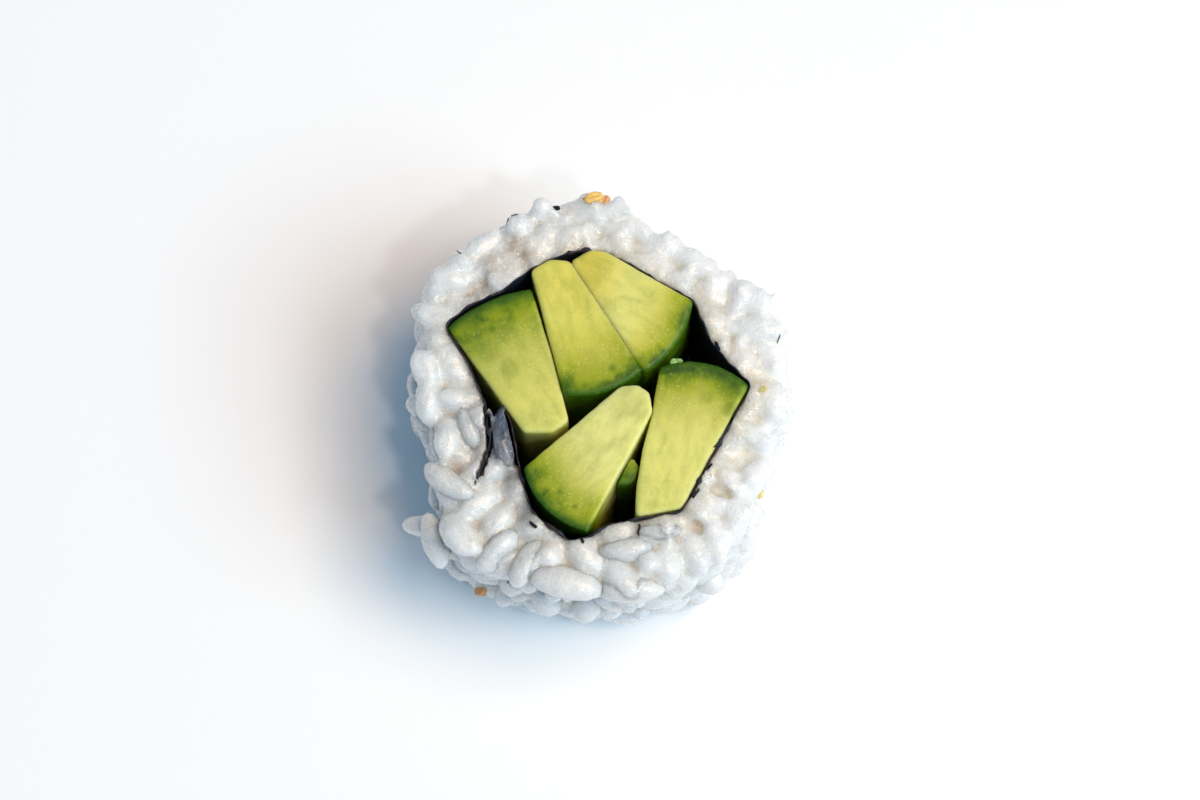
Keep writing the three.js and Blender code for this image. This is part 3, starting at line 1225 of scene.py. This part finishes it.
    def loose(self, grains: Spots, bed: BVHTree) -> bpy.types.Mesh:
        """Makes the single grains that stand out of the bed.

        Args:
            grains: where these grains lie.
            bed: the bed's faces.

        Returns:
            The grains as one mesh, with painted shade stored where they meet the bed.
        """
        mesh = Laying.lay(grains, self.shapes, self.finish, self.swelling)
        points, normals = points_of(mesh), normals_of(mesh)
        dents = np.array([ripple(p, 2.4 * MM, 5.0) + 0.5 * ripple(p, 1.2 * MM, 8.0) for p in points])
        points = points + normals * ((0.05 + dents * 0.2) * MM)[:, None]
        move_points(mesh, self.off_the_walls(self.trimmed(points, 0.15 * MM)))
        # painted shade where the loose grains meet the bed
        paint(mesh, "crevice", 0.5 * (1 - smoothstep(0.1 * MM, 0.5 * MM, reach_to(bed, points_of(mesh)))))
        return mesh

    @staticmethod
    def spread(points: np.ndarray, places: Sequence[Place], radius: float = 3.2 * MM) -> np.ndarray:
        """How strongly the nearest of some round patches marks each point, from 0 to 1.

        Args:
            points: the points.
            places: the patches' x and y in millimetres, and strength.
            radius: how far a patch spreads.

        Returns:
            One share for each point.
        """
        marks = np.zeros(len(points))
        for x, y, strength in places:
            fade = smoothstep(radius / 4, radius, reach_across(points, x, y))
            marks = np.maximum(marks, strength * (1 - fade))
        return marks

    def marked(self, mesh: bpy.types.Mesh) -> bpy.types.Mesh:
        """Stores how clear each point of the rice is, with painted shade that greys the left side, how much
        of the nori's colour it has taken, and painted shade in hollows and at the slit.
        """
        points = points_of(mesh)
        reach = reach_to(self.sheet, points)
        # painted shadow of the slit beside the tongue
        slit_shadow = self.spread(points, self.slit_shadow_spots, 1.6 * MM)
        bruise = np.maximum(self.spread(points, self.tint_and_shade_spots), slit_shadow)
        # painted shade: the left side of the roll is greyed by bearing alone, as if its grains were clearer
        bearing = np.arctan2(points[:, 1], points[:, 0])
        glassy = np.clip(0.55 + 0.5 * np.cos(bearing - math.radians(185)), 0, 1)
        glassy = np.maximum(glassy, self.spread(points, self.glassy_patches))
        paint(mesh, "glassy", glassy)
        paint(mesh, "stain", (1 - 0.65 * glassy) * (1 - smoothstep(0.2 * MM, 4.0 * MM, reach)))
        paint(mesh, "damp", self.spread(points, self.shaded_hollows, 2.5 * MM))
        paint(mesh, "bruise", bruise * (1 - smoothstep(1.2 * MM, 2.8 * MM, reach)))
        return mesh

    def build(self) -> list[bpy.types.Object]:
        """Makes the rice.

        Returns:
            The fused bed and the grains that stand out from it.
        """
        low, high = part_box(self.node.name)
        grains = Packing(self.solid, low, high, self.known, self.length, self.width, seed=self.seed).packed()
        loose = self.standing_out(grains)
        bed = self.bed(grains, loose)
        singles = self.loose(grains.chosen(loose), surface(bed))
        pieces = [new_object("rice_bed", self.marked(bed)), new_object("rice_grains", self.marked(singles))]
        for piece in pieces:
            piece.data.materials.clear()
            piece.data.materials.append(self.finish)
        return pieces


# --------------------------------------------------------------------------------------------------
# Cucumber
# --------------------------------------------------------------------------------------------------


@dataclass(frozen=True)
class BatonCut:
    """How a baton was cut and how it looks.

    skin_bearing is where its skin faces, in degrees, green is how wide the green band under the skin is, as a
    share of the common width, pallor and gold say how pale and how yellow the flesh is away from the skin,
    swelling is how many millimetres it bulges past its CAD solid, and spots are its dark spots: x, y and
    radius in millimetres, and strength.
    """

    skin_bearing: float
    green: float = 1.0
    pallor: float = 0.0
    gold: float = 0.0
    swelling: float = 0.15
    spots: tuple[tuple[float, float, float, float], ...] = ()


CUTS = {
    "cucumber_left": BatonCut(
        116.0,
        green=1.9,
        pallor=0.25,
        spots=(
            (-13.0, 7.5, 0.5, 0.6),
            (-15.3, 8.0, 0.9, 0.5),
            (-13.4, 4.7, 1.6, 0.28),
            (-10.9, 2.6, 1.4, 0.25),
        ),
    ),
    "cucumber_back_left": BatonCut(
        -72.0,
        gold=0.25,
        swelling=0.25,
        spots=((1.3, 2.6, 0.5, 0.7), (-3.1, 0.4, 0.35, 0.6), (-1.9, 0.5, 0.4, 0.5), (3.5, 2.8, 0.5, 0.4)),
    ),
    "cucumber_back_right": BatonCut(
        -33.0, green=0.5, pallor=0.35, gold=0.7, swelling=0.25, spots=((4.8, 3.8, 0.7, 0.3),)
    ),
    "cucumber_right": BatonCut(78.0, pallor=0.3, spots=((15.2, -2.4, 1.1, 0.5), (12.5, -1.0, 0.8, 0.3))),
    "cucumber_front": BatonCut(-135.0, pallor=0.6, spots=((-4.9, -12.5, 0.4, 0.6), (-3.1, -14.3, 0.4, 0.6))),
    "cucumber_sliver": BatonCut(-71.0),
}


@dataclass
class Baton:
    """One baton of cucumber, with its skin on the side that faces a bearing."""

    node: bpy.types.Object
    cut: BatonCut
    voxel: float = 0.21 * MM
    wave: float = 0.07 * MM
    skin_facing: float = 0.82
    foot: float = 0.02 * MM
    seed: float = 0.0

    def skin(self, mesh: bpy.types.Mesh) -> BVHTree:
        """The skin's faces: the upright ones that face the skin's bearing."""
        turn = math.radians(self.cut.skin_bearing)
        facing = Vector((math.cos(turn), math.sin(turn), 0.0))
        faces = [list(f.vertices) for f in mesh.polygons if f.normal.dot(facing) > self.skin_facing]
        return search_tree(mesh, faces)

    def build(self, finish: bpy.types.Material) -> bpy.types.Object:
        """Makes the baton.

        Args:
            finish: the cucumber's material.

        Returns:
            The baton, with the attributes that its finish reads.
        """
        plain = merged_copy(self.node)
        skin, sides = self.skin(plain), surface(plain, upright=True)
        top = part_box(self.node.name)[1].z
        mesh = voxel_remeshed(plain, self.voxel, 1)
        points, normals = points_of(mesh), normals_of(mesh)
        bumps = [ripple(p, 4 * MM, self.seed) + 0.35 * ripple(p, 1.2 * MM, self.seed) for p in points]
        points = points + normals * (self.cut.swelling * MM + np.array(bumps) * self.wave)[:, None]
        points[:, 2] = np.maximum(points[:, 2], self.foot)
        move_points(mesh, points)
        rind = reach_to(skin, points)
        turn = math.radians(self.cut.skin_bearing)
        across = points[:, 0] * -math.sin(turn) + points[:, 1] * math.cos(turn)
        paint(mesh, "rind", rind / self.cut.green)
        paint(mesh, "fibre", np.stack([rind * 0.35, across, points[:, 2] * 0.6], axis=1))
        # painted highlight: the rim along the cut top edges, away from the skin
        near_top = smoothstep(top - 0.6 * MM, top - 0.1 * MM, points[:, 2])
        near_side = 1 - smoothstep(0.05 * MM, 0.35 * MM, reach_to(sides, points))
        paint(mesh, "edge", near_top * near_side * smoothstep(1 * MM, 3 * MM, rind))
        paint(mesh, "pallor", self.cut.pallor * smoothstep(2 * MM, 8 * MM, rind))
        paint(mesh, "gold", self.cut.gold * smoothstep(7 * MM, 13 * MM, rind))
        spot = np.zeros(len(points))
        for x, y, radius, strength in self.cut.spots:
            fade = smoothstep(0.4 * radius * MM, 1.3 * radius * MM, reach_across(points, x, y))
            spot = np.maximum(spot, strength * (1 - fade))
        paint(mesh, "spot", spot)
        mesh.materials.append(finish)
        return new_object(f"{self.node.name}_cut", mesh)


# --------------------------------------------------------------------------------------------------
# Nori
# --------------------------------------------------------------------------------------------------


@dataclass(frozen=True)
class EdgeChange:
    """A stretch of the nori's upper edge that is torn down or crumpled thick, in millimetres."""

    place: tuple[float, float]
    width: float
    drop: float = 0.0
    swelling: float = 0.0

    def share(self, point: Vector) -> float:
        """How much of the change a point of the sheet's line takes, from 0 to 1."""
        reach = (point.xy - Vector(self.place) * MM).length / (self.width * MM / 2)
        return float(1 - smoothstep(0.6, 1.3, reach))


@dataclass
class Nori:
    """The sheet, wrinkled along the CAD strip's middle line, with a ragged upper edge."""

    node: bpy.types.Object
    step: float = 0.35 * MM
    rows: int = 30
    thinnest: float = 0.12 * MM
    thickest: float = 0.26 * MM
    wrinkle: float = 0.1 * MM
    ragged: float = 0.4 * MM
    sunk: float = 0.35 * MM
    changes: tuple[EdgeChange, ...] = (
        EdgeChange((-3.0, 16.9), 3.4, drop=-0.5, swelling=0.5),
        EdgeChange((-0.2, 17.4), 1.6, drop=1.6),
        EdgeChange((14.1, -6.4), 1.8, drop=-0.2, swelling=0.5),
        EdgeChange((12.5, -9.4), 1.4, drop=-0.2, swelling=0.6),
        EdgeChange((11.3, -11.8), 2.2, drop=-0.1, swelling=0.6),
        EdgeChange((6.9, -15.2), 3.0, drop=0.4),
        EdgeChange((-5.7, -17.2), 2.6, drop=-0.2, swelling=0.5),
        EdgeChange((-12.7, -2.4), 2.4, drop=1.2),
        EdgeChange((-13.7, -7.0), 6.0, drop=-0.2, swelling=0.3),
    )

    def middle_line(self) -> list[Vector]:
        """The strip's middle line, found from the outline of its upper face.

        Returns:
            Evenly spaced points from one end to the other, at the floor.
        """
        shape = bmesh.new()
        shape.from_mesh(merged_copy(self.node))
        top = max(v.co.z for v in shape.verts)
        rim = {v for v in shape.verts if v.co.z > top - 1e-6}
        edges = [
            e for e in shape.edges if set(e.verts) <= rim and any(abs(f.normal.z) < 0.5 for f in e.link_faces)
        ]
        neighbours: dict = {}
        for edge in edges:
            first, second = edge.verts
            neighbours.setdefault(first, []).append(second)
            neighbours.setdefault(second, []).append(first)
        loop = [edges[0].verts[0]]
        before = None
        while True:
            onward = next(v for v in neighbours[loop[-1]] if v is not before)
            before = loop[-1]
            if onward is loop[0]:
                break
            loop.append(onward)
        outline = [v.co.copy() for v in loop]
        shape.free()
        return self._resampled(self._folded(outline, self._end_edge(outline)))

    @staticmethod
    def _end_edge(outline: list[Vector]) -> int:
        """The number of the outline's vertex that starts one of the strip's two short ends."""
        count = len(outline)

        def straightness(i: int) -> float:
            """How little the outline turns at the two corners of one of its edges."""
            a, b, c, d = (outline[(i + k) % count] for k in (-1, 0, 1, 2))
            first, second, third = (b - a).normalized(), (c - b).normalized(), (d - c).normalized()
            return first.dot(second) + second.dot(third)

        return min(range(count), key=straightness)

    @staticmethod
    def _folded(outline: list[Vector], start: int) -> list[Vector]:
        """The middles between the outline's two long sides."""
        turned = outline[start + 1 :] + outline[: start + 1]
        half = len(turned) // 2
        return [(turned[i] + turned[-1 - i]) / 2 for i in range(half)]

    def _resampled(self, line: list[Vector]) -> list[Vector]:
        """The line with its points a step apart."""
        lengths = np.concatenate([[0.0], np.cumsum([(b - a).length for a, b in zip(line, line[1:])])])
        places = np.linspace(0.0, lengths[-1], int(lengths[-1] / self.step) + 1)
        columns = [np.interp(places, lengths, [p[axis] for p in line]) for axis in (0, 1)]
        return [Vector((x, y, 0.0)) for x, y in zip(*columns)]

    def _section(self, shape: bmesh.types.BMesh, point: Vector, outward: Vector, height: float) -> list:
        """Adds the sheet's vertices over one point of its line: up one side and down the other."""
        shares = [(change, change.share(point)) for change in self.changes]
        ragged = self.ragged * (ripple(point, 1.1 * MM, 3.0) + 0.6 * ripple(point, 0.5 * MM, 5.0))
        top = height - self.sunk + ragged - sum(change.drop * share for change, share in shares) * MM
        swelling = sum(change.swelling * share for change, share in shares) * MM
        foot = 0.03 * MM
        left, right = [], []
        for row in range(self.rows + 1):
            share = 1 - (1 - row / self.rows) ** 1.6
            spot = point + Vector((0.0, 0.0, foot + (top - foot) * share))
            near_edge = float(smoothstep(0.9, 0.97, share))
            flutter = self.wrinkle * (1 + near_edge) * ripple(spot, 1.6 * MM)
            crumple = near_edge * float(smoothstep(-0.1, 0.6, ripple(spot, 1.0 * MM, 9.0)))
            half = (self.thinnest + (self.thickest - self.thinnest + swelling) * crumple) / 2
            left.append(shape.verts.new(spot + outward * (flutter + half)))
            right.append(shape.verts.new(spot + outward * (flutter - half)))
        return left + right[::-1]

    def build(self, finish: bpy.types.Material) -> bpy.types.Object:
        """Makes the sheet.

        Args:
            finish: the nori's material.

        Returns:
            The sheet as a closed mesh.
        """
        line = self.middle_line()
        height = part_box(self.node.name)[1].z
        shape = bmesh.new()
        sections = []
        for i, point in enumerate(line):
            along = (line[min(i + 1, len(line) - 1)] - line[max(i - 1, 0)]).normalized()
            sections.append(self._section(shape, point, Vector((-along.y, along.x, 0.0)), height))
        count = len(sections[0])
        for here, onward in zip(sections, sections[1:]):
            for k in range(count):
                above = (k + 1) % count
                shape.faces.new((here[k], onward[k], onward[above], here[above]))
        for end in (sections[0], sections[-1]):
            for k in range(self.rows):
                shape.faces.new((end[k], end[k + 1], end[count - 2 - k], end[count - 1 - k]))
        bmesh.ops.recalc_face_normals(shape, faces=shape.faces)
        mesh = mesh_of(shape, "nori_sheet")
        paint(mesh, "edge", smoothstep(height - 1.6 * MM, height - 0.2 * MM, points_of(mesh)[:, 2]))
        mesh.materials.append(finish)
        return new_object("nori_sheet", mesh)


# --------------------------------------------------------------------------------------------------
# Crumbs
# --------------------------------------------------------------------------------------------------


class Crumb(Enum):
    """The kinds of small things on the roll, each with its finish."""

    FLESH = CrumbFinish("cucumber crumb", srgb(168, 206, 128), srgb(110, 160, 84))
    YELLOW = CrumbFinish("yellow crumb", srgb(252, 216, 116), srgb(246, 192, 112))
    ORANGE = CrumbFinish("orange crumb", srgb(240, 188, 136), srgb(226, 158, 100))
    PALE = CrumbFinish("pale yellow crumb", srgb(232, 222, 150), srgb(222, 206, 120))
    NORI = CrumbFinish("nori fleck", srgb(10, 18, 34), srgb(30, 24, 30), depth=None)


@dataclass(frozen=True)
class CrumbSpot:
    """One crumb: its middle, the way it points and its length, width and thickness, in millimetres."""

    kind: Crumb
    middle: Place
    way: Place
    size: Place


@dataclass
class Crumbs:
    """Specks of nori, flesh and seasoning that stick to the cut roll."""

    spots: tuple[CrumbSpot, ...] = (
        CrumbSpot(Crumb.YELLOW, (-0.7, 23.8, 23.7), (1, 0.1, 0), (2.4, 1.2, 0.9)),
        CrumbSpot(Crumb.ORANGE, (0.6, 23.6, 23.5), (0.6, 1, 0), (1.3, 0.8, 0.7)),
        CrumbSpot(Crumb.ORANGE, (-14.5, -20.7, 6.7), (1, -0.3, 0.2), (1.6, 1.1, 0.9)),
        CrumbSpot(Crumb.PALE, (19.8, -11.8, 18.5), (0.3, 1, 0.2), (1.1, 0.7, 0.6)),
        CrumbSpot(Crumb.PALE, (19.2, 0.2, 24.0), (1, 0.6, 0), (1.0, 0.7, 0.4)),
        CrumbSpot(Crumb.FLESH, (8.6, 3.8, 23.6), (1, 0.1, 0), (0.9, 0.7, 0.6)),
        CrumbSpot(Crumb.FLESH, (9.3, 3.6, 23.7), (0.7, -0.5, 0), (0.8, 0.5, 0.5)),
        CrumbSpot(Crumb.NORI, (-4.7, 23.4, 23.9), (1, 0.1, 0), (1.3, 0.5, 0.25)),
        CrumbSpot(Crumb.NORI, (-11.5, 21.2, 24.0), (0.3, 1, 0), (1.0, 0.14, 0.12)),
        CrumbSpot(Crumb.NORI, (-10.4, 22.1, 24.0), (1, 0.3, 0), (0.9, 0.13, 0.12)),
        CrumbSpot(Crumb.NORI, (-16.9, 17.0, 23.6), (1, -0.8, 0), (0.9, 0.14, 0.12)),
        CrumbSpot(Crumb.NORI, (13.4, 5.3, 24.0), (0.5, -1, 0), (1.2, 0.4, 0.25)),
        CrumbSpot(Crumb.NORI, (14.0, -7.0, 24.1), (1, 0.7, 0), (1.1, 0.4, 0.25)),
        CrumbSpot(Crumb.NORI, (12.7, -9.2, 24.1), (0.7, 0.8, 0), (1.2, 0.45, 0.25)),
        CrumbSpot(Crumb.NORI, (11.2, -12.4, 24.1), (0.7, 1, 0), (1.4, 0.4, 0.25)),
        CrumbSpot(Crumb.NORI, (-2.2, -18.3, 24.0), (0.3, -1, 0), (0.7, 0.35, 0.25)),
        CrumbSpot(Crumb.NORI, (-7.9, -16.4, 24.0), (1, -0.9, 0), (1.2, 0.4, 0.25)),
        CrumbSpot(Crumb.NORI, (4.1, -16.4, 24.3), (0.1, 1, 0), (1.5, 0.28, 0.3)),
        CrumbSpot(Crumb.NORI, (-10.6, -21.4, 16.8), (1, 0.4, 0), (0.35, 0.3, 0.25)),
        CrumbSpot(Crumb.NORI, (21.6, 6.4, 23.6), (0.3, 1, 0), (1.3, 0.16, 0.12)),
    )

    @staticmethod
    def lump() -> bpy.types.Collection:
        """A collection with one uneven lump, a unit long, along X."""
        shape = bmesh.new()
        bmesh.ops.create_icosphere(shape, subdivisions=3, radius=0.5)
        for vertex in shape.verts:
            vertex.co *= 1 + 0.7 * noise.noise(vertex.co * 3.1) + 0.3 * noise.noise(vertex.co * 8.0)
        collection = bpy.data.collections.new("crumb shapes")
        collection.objects.link(bpy.data.objects.new("crumb_shape", mesh_of(shape, "crumb_shape")))
        return collection

    @staticmethod
    def settled(spot: CrumbSpot, ground: BVHTree) -> Vector:
        """Where a crumb's middle comes to lie when it sticks to the nearest surface."""
        hit, normal, _, _ = ground.find_nearest(Vector(spot.middle) * MM)
        return hit + normal * (0.25 * min(spot.size) * MM)

    def build(self, ground: BVHTree) -> dict[Crumb, bpy.types.Object]:
        """Makes the crumbs.

        Args:
            ground: the faces of all that they stick to.

        Returns:
            One piece for each kind.
        """
        lump = self.lump()
        pieces = {}
        for kind in Crumb:
            mine = [spot for spot in self.spots if spot.kind is kind]
            spots = Spots(
                np.array([self.settled(spot, ground) for spot in mine]),
                np.array([spot.way for spot in mine], dtype=float),
                np.array([spot.size for spot in mine]) * MM,
                np.zeros(len(mine)),
            )
            mesh = Laying.lay(spots, lump, kind.value.material())
            pieces[kind] = new_object(f"{kind.name.lower()}_crumbs", mesh)
        return pieces


# --------------------------------------------------------------------------------------------------
# Studio
# --------------------------------------------------------------------------------------------------


@dataclass(frozen=True)
class Lamp:
    """A square soft lamp that faces the roll."""

    name: str
    bearing: float
    elevation: float
    size: float
    power: float
    colour: tuple[float, float, float]
    distance: float = 1.8


@dataclass
class Studio:
    """A plain pale floor, soft lamps, a cool light from all round and the camera."""

    focal: float = 100.0
    sensor: float = 36.0
    elevation: float = 75.0
    distance: float = 393.7 * MM
    aim: Vector = field(default_factory=lambda: Vector((-0.15, -1.25, 24.0)) * MM)
    lamps: tuple[Lamp, ...] = (
        Lamp("cool_lamp", -20.0, 45.0, 1.0, 18.6, (0.62, 0.85, 1.0)),
        Lamp("warm_lamp", 10.0, 66.0, 1.0, 22.4, (1.0, 0.69, 0.41)),
        Lamp("glint_lamp", -60.0, 62.0, 0.12, 3.2, (1.0, 1.0, 1.0)),
    )
    air: Colour = (0.36, 0.66, 1.0, 1.0)
    air_strength: float = 0.35

    @staticmethod
    def direction(bearing: float, elevation: float) -> Vector:
        """The unit vector towards a bearing from +X and an elevation, both in degrees."""
        turn, rise = math.radians(bearing), math.radians(elevation)
        return Vector((math.cos(turn) * math.cos(rise), math.sin(turn) * math.cos(rise), math.sin(rise)))

    def floor(self) -> bpy.types.Object:
        """The pale floor."""
        shape = bmesh.new()
        bmesh.ops.create_grid(shape, x_segments=1, y_segments=1, size=2.0)
        floor = new_object("floor", mesh_of(shape, "floor"))
        material, build = blank_material("pale floor")
        shader = build.add("ShaderNodeBsdfPrincipled", Roughness=0.9)
        build.feed(shader, "Base Color", srgb(250, 250, 250))
        build.feed(shader, "Specular IOR Level", 0.1)
        build.add("ShaderNodeOutputMaterial", Surface=shader.outputs["BSDF"])
        floor.data.materials.append(material)
        return floor

    def hang(self, lamp: Lamp) -> None:
        """Adds a lamp to the scene."""
        light = bpy.data.lights.new(lamp.name, "AREA")
        light.size = lamp.size
        light.energy = lamp.power
        light.color = lamp.colour
        holder = bpy.data.objects.new(lamp.name, light)
        out = self.direction(lamp.bearing, lamp.elevation)
        holder.location = self.aim + out * lamp.distance
        holder.rotation_euler = out.to_track_quat("Z", "Y").to_euler()
        bpy.context.scene.collection.objects.link(holder)

    def camera(self) -> None:
        """Adds the camera."""
        data = bpy.data.cameras.new("camera")
        data.lens = self.focal
        data.sensor_width = self.sensor
        data.clip_start = 0.01
        camera = bpy.data.objects.new("camera", data)
        out = self.direction(-90.0, self.elevation)
        camera.location = self.aim + out * self.distance
        camera.rotation_euler = out.to_track_quat("Z", "Y").to_euler()
        bpy.context.scene.collection.objects.link(camera)
        bpy.context.scene.camera = camera

    def build(self) -> bpy.types.Object:
        """Makes the studio.

        Returns:
            The floor.
        """
        scene = bpy.context.scene
        world = bpy.data.worlds.new("studio air")
        world.use_nodes = True
        sky = world.node_tree.nodes["Background"]
        sky.inputs["Color"].default_value = self.air
        sky.inputs["Strength"].default_value = self.air_strength
        scene.world = world
        for lamp in self.lamps:
            self.hang(lamp)
        self.camera()
        scene.view_settings.view_transform = "Standard"
        return self.floor()


# --------------------------------------------------------------------------------------------------
# The roll
# --------------------------------------------------------------------------------------------------


CRUMB_SLOTS = {Crumb.NORI: "nori", Crumb.FLESH: "cucumber"}
SEED_STEP = 7.3


def dress(piece: bpy.types.Object, slot: str, *nodes: str) -> None:
    """Ties a piece to the frame.

    Args:
        piece: the finished piece.
        slot: the name of a material slot; not used.
        nodes: the CAD nodes that it stands for.
    """
    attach(piece, "root")
    if nodes:
        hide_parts(*nodes)
    log.info("%s: %d faces", piece.name, len(piece.data.polygons))


def main() -> None:
    """Builds the roll and its studio round the CAD frame."""
    logging.basicConfig(level=logging.INFO, format="%(name)s: %(message)s")
    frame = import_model()
    nodes = frame["nodes"]
    Studio().build()

    sheet = Nori(nodes["nori"]).build(NoriFinish().material())
    dress(sheet, "nori", "nori")
    bed, grains = Rice(nodes["rice"], surface(sheet.data), RiceFinish().material()).build()
    dress(bed, "rice", "rice")
    dress(grains, "rice")
    flesh = CucumberFinish().material()
    batons = {}
    for i, (name, cut) in enumerate(CUTS.items()):
        batons[name] = Baton(nodes[name], cut, seed=SEED_STEP * i).build(flesh)
        dress(batons[name], "cucumber", name)
    ground = surface(joined([piece.data for piece in (bed, grains, *batons.values())]))
    for kind, piece in Crumbs().build(ground).items():
        dress(piece, CRUMB_SLOTS.get(kind, "rice"))


if __name__ == "__main__":
    main()
